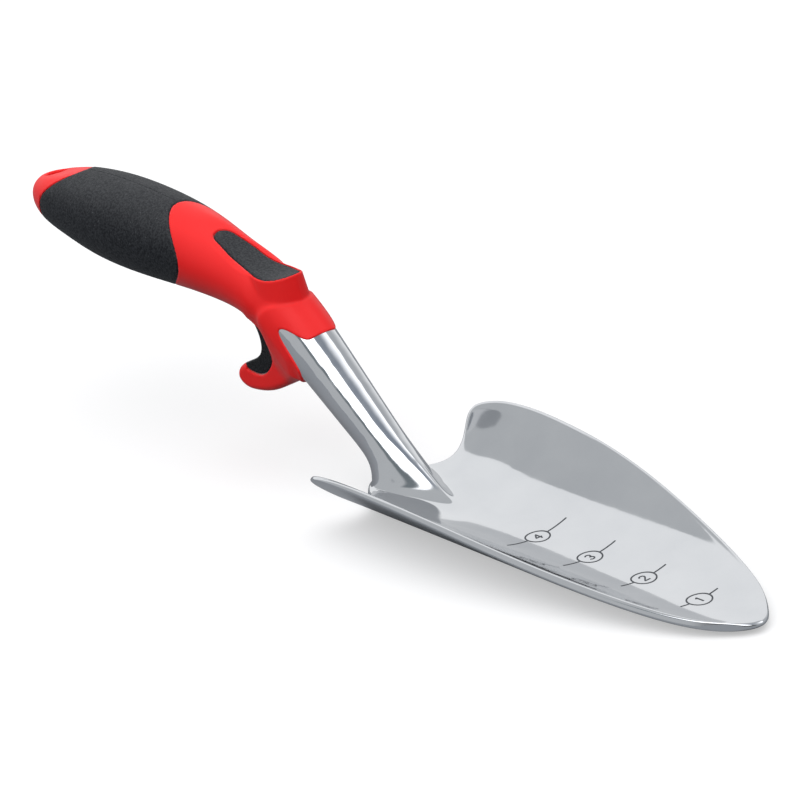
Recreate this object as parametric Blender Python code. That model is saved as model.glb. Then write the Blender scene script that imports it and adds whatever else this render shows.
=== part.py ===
"""Hand trowel: a cast aluminium head in an angled two-material grip with a finger hook.

Frame: +X towards the blade's tip, +Z up, Y = 0 is the symmetry plane. The lowest line of the blade
lies on Z = 0, and X = 0 is half way along the overall length. Driving dimensions are in
millimetres in the drawing's own frame; every mesh is written in metres, moved to ORIGIN.
"""

import math

import bmesh
import bpy
import numpy as np
from mathutils import Vector

MM = 0.001
GAP = 0.3  # clearance between neighbouring pieces
# The drawing's point that becomes the origin: half way along, at the lowest point of the blade.
ORIGIN = Vector((1.92, 0.0, 0.06))

# --- Blade: a trough of constant radius, cut to a spade outline ---
BLADE_THICKNESS = 2.8
TROUGH_RADIUS = 44.0
TIP_LIFT = 1.4
TIP_LIFT_START = 158.0
TIP_X = 186.0
# Cross rows from the tip to the shoulder: x on the centreline, x at the rim, half width.
BLADE_ROWS = [
    (187.6, 183.6, 6.0),
    (182.0, 176.0, 12.4),
    (170.0, 165.5, 17.6),
    (150.0, 147.5, 23.4),
    (125.0, 123.5, 29.0),
    (100.0, 100.0, 33.2),
    (76.0, 77.0, 35.8),
    (57.0, 58.0, 36.8),
]
# Cross rows beside the neck's foot: x at the foot's flank column, x at the rim, half width.
SHOULDER_ROWS = [(43.0, 45.0, 37.2), (36.0, 36.0, 37.2), (30.0, 26.4, 36.9), (24.5, 17.4, 35.8)]
# The scalloped rear edge from the centreline out to the horn: x, y.
REAR_EDGE = [(0.5, 0.0), (2.0, 4.8), (8.6, 10.4), (18.8, 17.4), (15.6, 26.2), (8.6, 33.0)]
COLUMNS = [0.0, 0.15, 0.32, 0.54, 0.80, 1.0]  # fractions of the half width
FLANK = 3  # the first column outside the neck's foot

# --- Neck: a straight taper that lands on the blade's upper face ---
NECK_X = -22.0  # stations along the neck are x positions of its axis
NECK_Z = 40.6
NECK_PITCH = math.radians(40.0)
NECK_RADIUS = 9.3
NECK_TAPER = 0.067  # loss of radius per millimetre of x towards the blade
# Foot of the neck on the blade, from its front point round to its rear: x, y.
FOOT = [
    (42.2, 0.0),
    (36.0, 3.0),
    (29.0, 6.2),
    (22.0, 9.2),
    (15.0, 11.0),
    (8.4, 9.2),
    (4.4, 4.8),
    (3.4, 0.0),
]
FOOT_CENTRE_X = [42.2, 28.0, 15.0, 3.4]
FOOT_ROWS = 4
NECK_STATIONS = [9.0, 0.0, -12.0, -24.0, -32.5]

# --- Tang: the casting carried on inside the handle ---
TANG_STATIONS = [-35.0, -38.0, -43.0, -50.0, -57.0, -66.0, -82.0, -98.0, -110.0]
TANG_START = -32.2
TANG_FULL = -37.6
TANG_RADIUS_FRONT = 6.2
TANG_RADIUS_REAR = 5.4
SOCKET_EASE = 1.2
TANG_GAP = 0.5
LOCK_HOLES = [-66.0, -88.0]  # cross holes that the handle's plastic fills
LOCK_HOLE_RADIUS = 2.6

# --- Handle: round sections along a curved spine ---
TAIL_X = -183.5
# x, height of the spine, radius squared (a straight line in the square gives a round end)
HANDLE = [
    (-10.0, 30.53, 90.0),
    (-22.0, 40.6, 104.0),
    (-33.0, 49.8, 112.0),
    (-50.0, 59.1, 120.0),
    (-66.0, 62.7, 141.0),
    (-85.0, 65.5, 196.0),
    (-110.0, 67.1, 249.0),
    (-135.0, 68.0, 243.0),
    (-157.0, 68.6, 168.0),
    (-172.0, 68.5, 92.0),
    (TAIL_X, 69.0, 2.0),
]
# Front edge of the collar: angle from the top in degrees, x of the axis station.
COLLAR_EDGE = [
    (0.0, -24.3),
    (25.0, -24.4),
    (38.0, -25.0),
    (48.0, -27.0),
    (58.0, -30.0),
    (68.0, -31.7),
    (76.0, -31.4),
    (84.0, -28.4),
    (93.0, -22.6),
    (103.0, -20.2),
    (140.0, -19.8),
    (180.0, -19.8),
]
HANDLE_SIDES = 36

# --- Rear sleeve: soft tube with slanting, waved ends ---
SLEEVE_WALL = 2.6
SLEEVE_FRONT_X = -87.5
SLEEVE_FRONT_WAVE = 7.5
SLEEVE_REAR_X = -150.2
SLEEVE_REAR_RAKE = 16.2
SLEEVE_REAR_TURN = math.radians(80.0)
SLEEVE_REAR_LEAN = 7.5
SLEEVE_STEPS = 12

# --- Thumb rest: a boss with a saddle-shaped top that carries a soft pad ---
PAD_REAR_X = -71.8
PAD_FRONT_X = -30.6
# Half outline of the thumb pad in plan, from its rear point to its front: x, y.
PAD_EDGE = [
    (PAD_REAR_X, 0.0),
    (-70.6, 2.7),
    (-66.0, 4.15),
    (-58.0, 5.1),
    (-50.0, 5.4),
    (-42.0, 6.5),
    (-36.0, 5.6),
    (-31.9, 3.1),
    (PAD_FRONT_X, 0.0),
]
PAD_THICKNESS = 1.8
PAD_STEPS = 22
BOSS_RIM = 0.9
BOSS_DEPTH = 12.0
BOSS_DRAFT = 1.9
SADDLE = [
    (-92.0, 82.6),
    (-80.0, 78.7),
    (-71.8, 75.4),
    (-62.0, 71.8),
    (-53.0, 68.5),
    (-44.0, 66.6),
    (-37.0, 66.6),
    (-28.0, 69.0),
]

# --- Finger hook under the collar ---
HOOK_HALF_WIDTH = 7.0
HOOK_EDGE = 1.8
FINGER_PAD_HALF_WIDTH = 6.6
# Curves in the symmetry plane, each from the handle's underside to the hook's tip: x, z.
HOOK_THROAT = [(-51.0, 50.4), (-47.6, 44.6), (-47.8, 38.6), (-52.4, 34.6), (-58.4, 31.8)]
PAD_BACK = [(-48.8, 50.4), (-43.2, 45.2), (-40.9, 39.2), (-44.0, 33.0), (-51.0, 29.4), (-57.4, 30.0)]
HOOK_BELLY = [
    (-60.8, 30.6),
    (-63.4, 28.4),
    (-64.0, 25.4),
    (-61.4, 22.8),
    (-55.0, 22.2),
    (-46.0, 24.0),
    (-38.0, 27.4),
    (-30.0, 32.0),
]
HOOK_ROOT = [(-25.6, 35.0), (-26.0, 42.0), (-38.0, 54.0), (-50.0, 57.0)]

# --- Hanging tab at the tail ---
TAB_X = -158.0
TAB_Z = 80.2
TAB_SLOPE = math.radians(11.5)
HANG_HOLE_X = -170.0
HANG_HOLE_RADIUS = 4.0

ALUMINIUM = ("cast_aluminium", (0.80, 0.81, 0.83), 0.16, 1.0)
RED_PLASTIC = ("red_polypropylene", (0.83, 0.022, 0.022), 0.32, 0.0)
BLACK_RUBBER = ("black_soft_grip", (0.022, 0.024, 0.027), 0.70, 0.0)


def natural_spline(knots):
    """Return f(t), the natural cubic spline through rows of (t, value, ...)."""
    table = np.array(knots, dtype=float)
    table = table[np.argsort(table[:, 0])]
    t = table[:, 0]
    values = table[:, 1:]
    step = np.diff(t)
    slope = np.diff(values, axis=0) / step[:, None]
    system = np.eye(len(t))
    right = np.zeros_like(values)
    for i in range(1, len(t) - 1):
        system[i, i - 1 : i + 2] = (step[i - 1], 2 * (step[i - 1] + step[i]), step[i])
        right[i] = 6 * (slope[i] - slope[i - 1])
    bend = np.linalg.solve(system, right)

    def at(x):
        i = int(np.clip(np.searchsorted(t, x) - 1, 0, len(step) - 1))
        b = (x - t[i]) / step[i]
        a = 1 - b
        curve = (a**3 - a) * bend[i] + (b**3 - b) * bend[i + 1]
        return a * values[i] + b * values[i + 1] + curve * step[i] ** 2 / 6

    return at


def smooth_path(points, count):
    """Sample count points along a spline through points, spaced by its chord length."""
    points = np.array(points, dtype=float)
    reach = np.concatenate([[0.0], np.cumsum(np.linalg.norm(np.diff(points, axis=0), axis=1))])
    path = natural_spline(np.column_stack([reach, points]))
    return [path(s) for s in np.linspace(0.0, reach[-1], count)]


handle_at = natural_spline(HANDLE)
collar_at = natural_spline(COLLAR_EDGE)
saddle_at = natural_spline(SADDLE)


def smoothstep(low, high, x):
    u = min(max((x - low) / (high - low), 0.0), 1.0)
    return u * u * (3 - 2 * u)


def spine(x):
    """Centre, up direction and handle radius at station x; the neck's part is straight."""
    z, square = handle_at(x)
    ahead, _ = handle_at(x + 0.1)
    slope = (ahead - z) / 0.1
    if x > NECK_X:
        z = NECK_Z - (x - NECK_X) * math.tan(NECK_PITCH)
        slope = -math.tan(NECK_PITCH)
    up = Vector((-slope, 0.0, 1.0)).normalized()
    return Vector((x, 0.0, z)), up, math.sqrt(max(square, 0.0))


def section_point(x, angle, radius):
    """A point of the round section at station x; angle 0 is its top."""
    centre, up, _ = spine(x)
    return centre + radius * (math.cos(angle) * up + math.sin(angle) * Vector((0, 1, 0)))


def casting_radius(x, ease=0.0):
    """Radius of the neck and tang at station x; ease moves the step between them rearwards."""
    neck = NECK_RADIUS - NECK_TAPER * (x - NECK_X)
    along = (x - TANG_FULL) / (TANG_STATIONS[-1] - TANG_FULL)
    tang = TANG_RADIUS_FRONT + (TANG_RADIUS_REAR - TANG_RADIUS_FRONT) * along
    return tang + (neck - tang) * smoothstep(TANG_FULL - ease, TANG_START - ease, x)


def make_object(name, vertices, faces):
    """A mesh object from vertices in millimetres, with its faces turned outwards."""
    mesh = bpy.data.meshes.new(name)
    mesh.from_pydata([(Vector(v) - ORIGIN) * MM for v in vertices], [], faces)
    shape = bmesh.new()
    shape.from_mesh(mesh)
    bmesh.ops.recalc_face_normals(shape, faces=shape.faces)
    shape.to_mesh(mesh)
    shape.free()
    obj = bpy.data.objects.new(name, mesh)
    bpy.context.scene.collection.objects.link(obj)
    return obj


def as_cutter(obj):
    obj.hide_render = True
    obj.display_type = "WIRE"
    obj.hide_set(True)
    return obj


def boolean(target, tool, operation="DIFFERENCE"):
    """Use tool on target, and hide it as a cutter."""
    step = target.modifiers.new(f"{operation.lower()} {tool.name}", "BOOLEAN")
    step.operation = operation
    step.solver = "EXACT"
    step.object = as_cutter(tool)


def paint(obj, finish):
    """Give obj the shared material of this name, colour, roughness and metallic value."""
    name, colour, roughness, metallic = finish
    material = bpy.data.materials.get(name) or bpy.data.materials.new(name)
    material.use_nodes = True
    shader = material.node_tree.nodes["Principled BSDF"]
    shader.inputs["Base Color"].default_value = (*colour, 1.0)
    shader.inputs["Roughness"].default_value = roughness
    shader.inputs["Metallic"].default_value = metallic
    obj.data.materials.append(material)


def loft(name, rings):
    """Join rings of equal point count into a bar with flat ends."""
    sides = len(rings[0])
    vertices = [point for ring in rings for point in ring]
    faces = []
    for i in range(len(rings) - 1):
        for j in range(sides):
            k = (j + 1) % sides
            faces.append((i * sides + j, i * sides + k, (i + 1) * sides + k, (i + 1) * sides + j))
    faces.append(tuple(range(sides)))
    faces.append(tuple((len(rings) - 1) * sides + j for j in range(sides)))
    return make_object(name, vertices, faces)


def prism(name, outline, half_width):
    """Extrude an outline in the x-z plane to half_width on both sides of the symmetry plane."""
    near = [(x, -half_width, z) for x, z in outline]
    far = [(x, half_width, z) for x, z in outline]
    return loft(name, [near, far])


def cylinder(name, centre, direction, radius, length, sides=24):
    """A round bar centred on a point, with its ends square to direction."""
    axis = Vector(direction).normalized()
    across = axis.orthogonal().normalized()
    other = axis.cross(across)
    rings = []
    for end in (-0.5, 0.5):
        middle = Vector(centre) + axis * length * end
        turns = [2 * math.pi * k / sides for k in range(sides)]
        rings.append([middle + radius * (math.cos(a) * across + math.sin(a) * other) for a in turns])
    return loft(name, rings)


# ---------------------------------------------------------------- head casting


def trough_point(x, y, face):
    """A point of the blade's upper (face 0) or lower (face 1) surface at plan position x, y."""
    angle = math.asin(y / TROUGH_RADIUS)
    radius = TROUGH_RADIUS + face * BLADE_THICKNESS
    u = max((x - TIP_LIFT_START) / (TIP_X - TIP_LIFT_START), 0.0)
    height = BLADE_THICKNESS + TROUGH_RADIUS - radius * math.cos(angle) + TIP_LIFT * u * u
    return Vector((x, radius * math.sin(angle), height))


def blade_plan(row, column):
    """Plan position of a cage vertex, for a column on the +Y side."""
    share = COLUMNS[column]
    if row < len(BLADE_ROWS):
        x_centre, x_rim, half_width = BLADE_ROWS[row]
        return x_centre + (x_rim - x_centre) * share**2, half_width * share
    row -= len(BLADE_ROWS)
    if row == len(SHOULDER_ROWS):
        return REAR_EDGE[column]
    x_flank, x_rim, half_width = SHOULDER_ROWS[row]
    if column >= FLANK:
        u = (share - COLUMNS[FLANK]) / (1 - COLUMNS[FLANK])
        return x_flank + (x_rim - x_flank) * u, half_width * share
    side_x, side_y = FOOT[row + 2]
    u = column / (FLANK - 1)
    return FOOT_CENTRE_X[row] + (side_x - FOOT_CENTRE_X[row]) * u, side_y * u


def foot_loop():
    """Cage places (row, signed column) of the foot's outline, once round from the front point."""
    first = len(BLADE_ROWS)
    half = [(first, 0), (first, 1), (first, 2), (first + 1, 2), (first + 2, 2)]
    half += [(first + 3, 2), (first + 3, 1), (first + 3, 0)]
    return half + [(row, -column) for row, column in half[-2:0:-1]]


def make_casting():
    """Blade, neck and tang in one subdivided cage."""
    rows = len(BLADE_ROWS) + len(SHOULDER_ROWS) + 1
    reach = len(COLUMNS) - 1
    vertices = []
    place = {}
    loop = foot_loop()
    half = len(FOOT) - 1
    for face in (0, 1):
        for row in range(rows):
            for column in range(-reach, reach + 1):
                x, y = blade_plan(row, abs(column))
                side = -1 if column < 0 else 1
                if face == 0 and (row, column) in loop:
                    turn = loop.index((row, column))
                    x, y = FOOT[min(turn, 2 * half - turn)]
                point = trough_point(x, y, face)
                place[face, row, column] = len(vertices)
                vertices.append((point.x, side * point.y, point.z))

    faces = []
    top = len(BLADE_ROWS)
    for face in (0, 1):
        for row in range(rows - 1):
            for column in range(-reach, reach):
                under_foot = top <= row < top + FOOT_ROWS - 1 and -2 <= column < 2
                if face == 0 and under_foot:
                    continue
                corners = [(row, column), (row, column + 1), (row + 1, column + 1), (row + 1, column)]
                faces.append([place[face, *corner] for corner in corners])
    for row in range(rows - 1):
        for rim in (-reach, reach):
            corners = [(0, row), (0, row + 1), (1, row + 1), (1, row)]
            faces.append([place[face, at, rim] for face, at in corners])
    for column in range(-reach, reach):
        for row in (0, rows - 1):
            ends = (column, column + 1)
            faces.append([place[0, row, c] for c in ends] + [place[1, row, c] for c in ends[::-1]])

    # The neck's rings start from the foot's loop, with one fillet ring between.
    sides = len(loop)
    turns = [2 * math.pi * k / sides for k in range(sides)]
    rings = [[place[0, row, column] for row, column in loop]]
    stations = NECK_STATIONS + TANG_STATIONS
    swell = 1 + (1 - math.cos(turns[1])) / 3  # a smoothed cage ring shrinks by this much
    first = [section_point(stations[0], a, swell * casting_radius(stations[0])) for a in turns]
    fillet = []
    for index, start in zip(rings[0], first):
        foot = Vector(vertices[index])
        fillet.append(foot.lerp(start, 0.28))
    rounds = [[section_point(x, a, swell * casting_radius(x)) for a in turns] for x in stations]
    for ring in [fillet] + rounds:
        rings.append(list(range(len(vertices), len(vertices) + sides)))
        vertices.extend(ring)
    for lower, upper in zip(rings, rings[1:]):
        for k in range(sides):
            n = (k + 1) % sides
            faces.append([lower[k], lower[n], upper[n], upper[k]])
    faces.append(rings[-1])

    casting = make_object("head_casting", vertices, faces)
    smooth = casting.modifiers.new("smooth", "SUBSURF")
    smooth.levels = 1
    smooth.render_levels = 1
    for number, x in enumerate(LOCK_HOLES):
        boolean(casting, lock_bar(f"lock_hole_{number}", x, LOCK_HOLE_RADIUS))
    paint(casting, ALUMINIUM)
    return casting


def lock_bar(name, x, radius):
    """A bar across the tang at station x."""
    centre, _, _ = spine(x)
    return cylinder(name, centre, (0, 1, 0), radius, 40.0, sides=20)


# ---------------------------------------------------------------- handle core


def tail_stations(count):
    """Fractions from the tail (0) to the front (1), closer together at the rounded tail."""
    return [(1 - math.cos(0.5 * math.pi * k / count)) ** 0.9 for k in range(1, count + 1)]


def make_body():
    """The handle's outer form, with its waved collar edge left as a closed front."""
    rings = []
    for u in tail_stations(34):
        ring = []
        for k in range(HANDLE_SIDES):
            angle = 2 * math.pi * k / HANDLE_SIDES
            turn = math.degrees(min(angle, 2 * math.pi - angle))
            x = TAIL_X + (collar_at(turn)[0] - TAIL_X) * u
            _, _, radius = spine(x)
            ring.append(section_point(x, angle, radius))
        rings.append(ring)
    vertices = [point for ring in rings for point in ring]
    tail_centre = len(vertices)
    front_centre = tail_centre + 1
    vertices.append(spine(TAIL_X)[0])
    vertices.append(spine(COLLAR_EDGE[0][1])[0])
    faces = []
    sides = HANDLE_SIDES
    last = (len(rings) - 1) * sides
    for j in range(sides):
        k = (j + 1) % sides
        faces.append((tail_centre, k, j))
        faces.append((front_centre, last + j, last + k))
        for i in range(len(rings) - 1):
            faces.append((i * sides + j, i * sides + k, (i + 1) * sides + k, (i + 1) * sides + j))
    return make_object("handle_core", vertices, faces)


def make_socket():
    """The hollow round the neck and tang, less the plugs that fill the tang's lock holes."""
    front = [0.0, -10.0, -20.0, -28.0, -32.5, -34.5, -36.5, -38.5]
    sides = 4 * len(FOOT) - 4
    rings = []
    for x in [TANG_STATIONS[-1] - 1.6] + TANG_STATIONS[:1:-1] + front[::-1]:
        clearance = TANG_GAP if x < TANG_FULL else GAP
        radius = casting_radius(max(x, TANG_STATIONS[-1]), SOCKET_EASE) + clearance
        rings.append([section_point(x, 2 * math.pi * k / sides, radius) for k in range(sides)])
    socket = loft("socket", rings)
    for number, x in enumerate(LOCK_HOLES):
        boolean(socket, lock_bar(f"lock_plug_{number}", x, LOCK_HOLE_RADIUS - GAP))
    return socket


def sleeve_ends(angle):
    """Rear and front stations of the sleeve at an angle from the top."""
    side = math.pi - abs(math.pi - angle)
    rear = SLEEVE_REAR_X - SLEEVE_REAR_RAKE * smoothstep(0.0, SLEEVE_REAR_TURN, side)
    rear -= SLEEVE_REAR_LEAN * math.sin(angle / 2) ** 4
    front = SLEEVE_FRONT_X - SLEEVE_FRONT_WAVE * math.cos(2 * angle)
    return rear, front


def make_sleeve_form(name, outer_extra, wall, end_gap):
    """The sleeve's tube, or with extra size the seat that is cut for it."""
    steps = [step / SLEEVE_STEPS for step in range(SLEEVE_STEPS + 1)]
    passes = [(u, outer_extra) for u in steps] + [(u, -wall) for u in steps[::-1]]
    vertices = []
    for u, offset in passes:
        for k in range(HANDLE_SIDES):
            angle = 2 * math.pi * k / HANDLE_SIDES
            rear, front = sleeve_ends(angle)
            x = (rear - end_gap) + (front - rear + 2 * end_gap) * u
            _, _, radius = spine(x)
            vertices.append(section_point(x, angle, radius + offset))
    faces = []
    sides = HANDLE_SIDES
    for i in range(len(passes)):
        n = (i + 1) % len(passes)
        for j in range(sides):
            k = (j + 1) % sides
            faces.append((i * sides + j, i * sides + k, n * sides + k, n * sides + j))
    return make_object(name, vertices, faces)


def pad_outline(margin):
    """Half outline of the thumb pad grown by margin, from its rear point to its front: x, y."""
    half = [Vector(p) for p in smooth_path(PAD_EDGE, PAD_STEPS + 1)]
    half[0].y = half[-1].y = 0.0
    mirrored = [Vector((half[1].x, -half[1].y))] + half + [Vector((half[-2].x, -half[-2].y))]
    points = []
    for before, point, after in zip(mirrored, half, mirrored[2:]):
        along = (after - before).normalized()
        grown = point + margin * Vector((-along.y, along.x))
        points.append((grown.x, grown.y))
    return points


def saddle_slab(name, margin, top, bottom, spread=0.0):
    """A block under the pad's outline, between two copies of the saddle at these heights."""
    vertices = []
    faces = []
    count = PAD_STEPS + 1
    for height, grow in ((top, 0.0), (bottom, spread)):
        for side in (1, -1):
            for x, y in pad_outline(margin + grow):
                vertices.append((x, side * y, saddle_at(x)[0] + height))
    for i in range(count - 1):
        n = i + 1
        far_top, near_top, far_low, near_low = (i, count + i, 2 * count + i, 3 * count + i)
        faces.append((far_top, far_top + 1, near_top + 1, near_top))
        faces.append((far_low, near_low, near_low + 1, far_low + 1))
        faces.append((far_top, far_low, far_low + 1, far_top + 1))
        faces.append((near_top, near_top + 1, near_low + 1, near_low))
    return weld(make_object(name, vertices, faces))


def weld(obj):
    """Merge points that coincide, and drop the faces this closes up."""
    shape = bmesh.new()
    shape.from_mesh(obj.data)
    bmesh.ops.remove_doubles(shape, verts=shape.verts, dist=0.001 * MM)
    bmesh.ops.dissolve_degenerate(shape, edges=shape.edges, dist=0.001 * MM)
    bmesh.ops.recalc_face_normals(shape, faces=shape.faces)
    shape.to_mesh(obj.data)
    shape.free()
    return obj


def make_saddle_cutter():
    """Everything above the saddle, across the whole handle."""
    first = SADDLE[0][0]
    last = SADDLE[-1][0] + 4.0
    outline = [(x, saddle_at(x)[0]) for x in np.linspace(first, last, 15)]
    outline += [(last, 100.0), (first, 100.0)]
    return prism("saddle_cutter", outline, 24.0)


def hook_outline():
    """The hook's profile, including the part that is buried in the handle."""
    throat = smooth_path(HOOK_THROAT, 12)
    belly = smooth_path(HOOK_BELLY, 16)
    return [tuple(p) for p in throat + belly] + HOOK_ROOT


def finger_pad_outline(gap):
    """The finger pad's profile: its throat face out, and its back into the hook; gap grows it."""
    throat = smooth_path(HOOK_THROAT, 14)
    back = smooth_path(PAD_BACK, 14)
    outline = [Vector(p) for p in throat] + [Vector(p) for p in back[::-1]]
    if not gap:
        return [tuple(p) for p in outline]
    grown = []
    for i, point in enumerate(outline):
        before, after = outline[i - 1], outline[(i + 1) % len(outline)]
        along = (after - before).normalized()
        grown.append(tuple(point + gap * Vector((along.y, -along.x))))
    return grown


def bevel(obj, width, segments=2, angle=40.0):
    edge = obj.modifiers.new("bevel", "BEVEL")
    edge.width = width * MM
    edge.segments = segments
    edge.limit_method = "ANGLE"
    edge.angle_limit = math.radians(angle)


def make_tab_cutter():
    """The wedge above the hanging tab's flat upper face."""
    fall = math.tan(TAB_SLOPE)
    ahead, behind = 22.0, -50.0
    outline = [(TAB_X + d, TAB_Z + fall * d) for d in (behind, ahead)]
    outline += [(TAB_X + ahead, 110.0), (TAB_X + behind, 110.0)]
    return prism("tab_cutter", outline, 20.0)


def hang_hole(name, radius):
    """A bar through the tab, square to its upper face."""
    z = TAB_Z + math.tan(TAB_SLOPE) * (HANG_HOLE_X - TAB_X)
    direction = (-math.sin(TAB_SLOPE), 0.0, math.cos(TAB_SLOPE))
    return cylinder(name, (HANG_HOLE_X, 0.0, z), direction, radius, 70.0)


def make_core():
    core = make_body()
    hook = prism("hook", hook_outline(), HOOK_HALF_WIDTH)
    bevel(hook, HOOK_EDGE)
    boolean(core, hook, "UNION")
    boolean(core, saddle_slab("boss", BOSS_RIM, 0.05, -BOSS_DEPTH, BOSS_DRAFT), "UNION")
    boolean(core, make_saddle_cutter())
    boolean(core, saddle_slab("pad_pocket", GAP, 3.0, -PAD_THICKNESS - GAP))
    boolean(core, make_sleeve_form("sleeve_seat", 3.0, SLEEVE_WALL + GAP, GAP))
    boolean(core, make_tab_cutter())
    boolean(core, hang_hole("hang_hole", HANG_HOLE_RADIUS))
    boolean(core, prism("finger_pad_pocket", finger_pad_outline(GAP), HOOK_HALF_WIDTH + 2.0))
    boolean(core, make_socket())
    paint(core, RED_PLASTIC)
    return core


def make_sleeve():
    sleeve = make_sleeve_form("rear_grip_sleeve", 0.0, SLEEVE_WALL, 0.0)
    boolean(sleeve, hang_hole("sleeve_hole", HANG_HOLE_RADIUS))
    paint(sleeve, BLACK_RUBBER)
    return sleeve


def make_thumb_pad():
    pad = saddle_slab("thumb_pad", 0.0, 0.2, -PAD_THICKNESS)
    paint(pad, BLACK_RUBBER)
    return pad


def make_finger_pad():
    pad = prism("finger_pad", finger_pad_outline(0.0), FINGER_PAD_HALF_WIDTH)
    paint(pad, BLACK_RUBBER)
    return pad


def main():
    for obj in list(bpy.data.objects):
        bpy.data.objects.remove(obj, do_unlink=True)
    pieces = [make_casting(), make_core(), make_sleeve(), make_thumb_pad(), make_finger_pad()]
    for piece in pieces:
        piece.data.shade_smooth()
        piece.data.set_sharp_from_angle(angle=math.radians(35.0))


main()
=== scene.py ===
"""Looks of the hand trowel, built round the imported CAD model.

The fine meshes repeat the CAD's driving dimensions, in millimetres in the drawing's frame, and are
written in metres, moved to ORIGIN. X runs from the tail to the blade's tip, Z is up, and the tool
is symmetric about the X-Z plane. The casting is a subdivided cage, the sleeve is a loft, the handle
and its pads are zero surfaces of rounded distance fields, and the depth marks are bands laid on the
finished casting.
"""

import math

import bmesh
import bpy
import numpy as np
from mathutils import Matrix, Vector
from mathutils.bvhtree import BVHTree


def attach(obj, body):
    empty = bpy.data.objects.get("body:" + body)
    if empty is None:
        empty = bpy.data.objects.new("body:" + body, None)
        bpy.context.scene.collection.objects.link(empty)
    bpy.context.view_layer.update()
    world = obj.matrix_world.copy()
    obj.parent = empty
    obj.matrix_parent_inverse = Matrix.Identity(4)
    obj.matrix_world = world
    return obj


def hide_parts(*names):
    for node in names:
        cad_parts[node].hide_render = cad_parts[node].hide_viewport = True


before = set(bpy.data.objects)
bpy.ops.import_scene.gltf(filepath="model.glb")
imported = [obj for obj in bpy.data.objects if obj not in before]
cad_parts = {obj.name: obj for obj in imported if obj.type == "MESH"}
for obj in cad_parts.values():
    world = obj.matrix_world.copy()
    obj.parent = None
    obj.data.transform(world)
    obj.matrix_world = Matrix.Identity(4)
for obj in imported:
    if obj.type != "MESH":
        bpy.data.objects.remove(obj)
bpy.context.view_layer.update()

MM = 0.001
GAP = 0.3  # clearance between pieces
ORIGIN = Vector((1.92, 0.0, 0.06))  # the row frame's origin in the drawing's frame

# --- Blade and neck, as in the CAD ---
BLADE_THICKNESS = 2.8
TROUGH_RADIUS = 44.0
TIP_LIFT = 1.4
TIP_LIFT_START = 158.0
TIP_X = 186.0
# Cage rows across the blade, tip to neck: x at the centre, x at the rim, half width.
BLADE_ROWS = [
    (187.6, 183.6, 6.0),
    (182.0, 176.0, 12.4),
    (170.0, 165.5, 17.6),
    (150.0, 147.5, 23.4),
    (125.0, 123.5, 29.0),
    (100.0, 100.0, 33.2),
    (76.0, 77.0, 35.8),
    (57.0, 58.0, 36.8),
]
# Rows beside the neck's foot: x at its flank, x at the rim, half width.
SHOULDER_ROWS = [(43.0, 45.0, 37.2), (36.0, 36.0, 37.2), (30.0, 26.4, 36.9), (24.5, 17.4, 35.8)]
# Rear edge of the blade from the centre to the horn, one point for each column: x, y.
REAR_EDGE = [(0.5, 0.0), (2.0, 4.8), (8.6, 10.4), (18.8, 17.4), (15.6, 26.2), (8.6, 33.0)]
COLUMNS = [0.0, 0.15, 0.32, 0.54, 0.80, 1.0]  # share of the half width
FLANK = 3  # the first column beside the foot
NECK_X = -22.0
NECK_Z = 40.6
NECK_PITCH = math.radians(40.0)
NECK_RADIUS = 9.3
NECK_TAPER = 0.067
# Half outline of the neck's foot on the blade, front to rear: x, y.
FOOT = [(42.2, 0.0), (36.0, 3.0), (29.0, 6.2), (22.0, 9.2)]
FOOT += [(15.0, 11.0), (8.4, 9.2), (4.4, 4.8), (3.4, 0.0)]
FOOT_CENTRE_X = [42.2, 28.0, 15.0, 3.4]
FOOT_ROWS = 4
NECK_STATIONS = [9.0, 0.0, -12.0, -24.0, -32.5]
TANG_STATIONS = [-35.0, -38.0, -43.0, -50.0, -57.0, -66.0, -82.0, -98.0, -110.0]
TANG_START = -32.2
TANG_FULL = -37.6
TANG_RADIUS_FRONT = 6.2
TANG_RADIUS_REAR = 5.4
SOCKET_EASE = 1.2
SOCKET_END_ROOM = 1.6
FILLET_SHARE = 0.28  # how far up from the foot to the neck's first section its fillet ends
CASTING_LEVELS = 4
FOOT_EASING = 60
RIM_CREASE = 0.3
ACROSS_RIM = 1.2 * BLADE_THICKNESS * MM  # shorter edges run across the rim

# --- Handle, as in the CAD ---
TAIL_X = -183.5
# x, height of the spine, radius squared.
HANDLE = [(-10.0, 30.53, 90.0), (-22.0, 40.6, 104.0), (-33.0, 49.8, 112.0), (-50.0, 59.1, 120.0)]
HANDLE += [(-66.0, 62.7, 141.0), (-85.0, 65.5, 196.0), (-110.0, 67.1, 249.0), (-135.0, 68.0, 243.0)]
HANDLE += [(-157.0, 68.6, 168.0), (-172.0, 68.5, 92.0), (TAIL_X, 69.0, 2.0)]
# Front edge of the collar: angle from the top in degrees, station.
COLLAR_EDGE = [(0.0, -24.3), (25.0, -24.4), (38.0, -25.0), (48.0, -27.0)]
COLLAR_EDGE += [(58.0, -30.0), (68.0, -31.7), (76.0, -31.4), (84.0, -28.4)]
COLLAR_EDGE += [(93.0, -22.6), (103.0, -20.2), (140.0, -19.8), (180.0, -19.8)]
SLEEVE_WALL = 2.6
SLEEVE_FRONT_X = -87.5
SLEEVE_FRONT_WAVE = 7.5
SLEEVE_REAR_X = -150.2
SLEEVE_REAR_RAKE = 16.2
SLEEVE_REAR_TURN = math.radians(80.0)
SLEEVE_REAR_LEAN = 7.5
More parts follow.
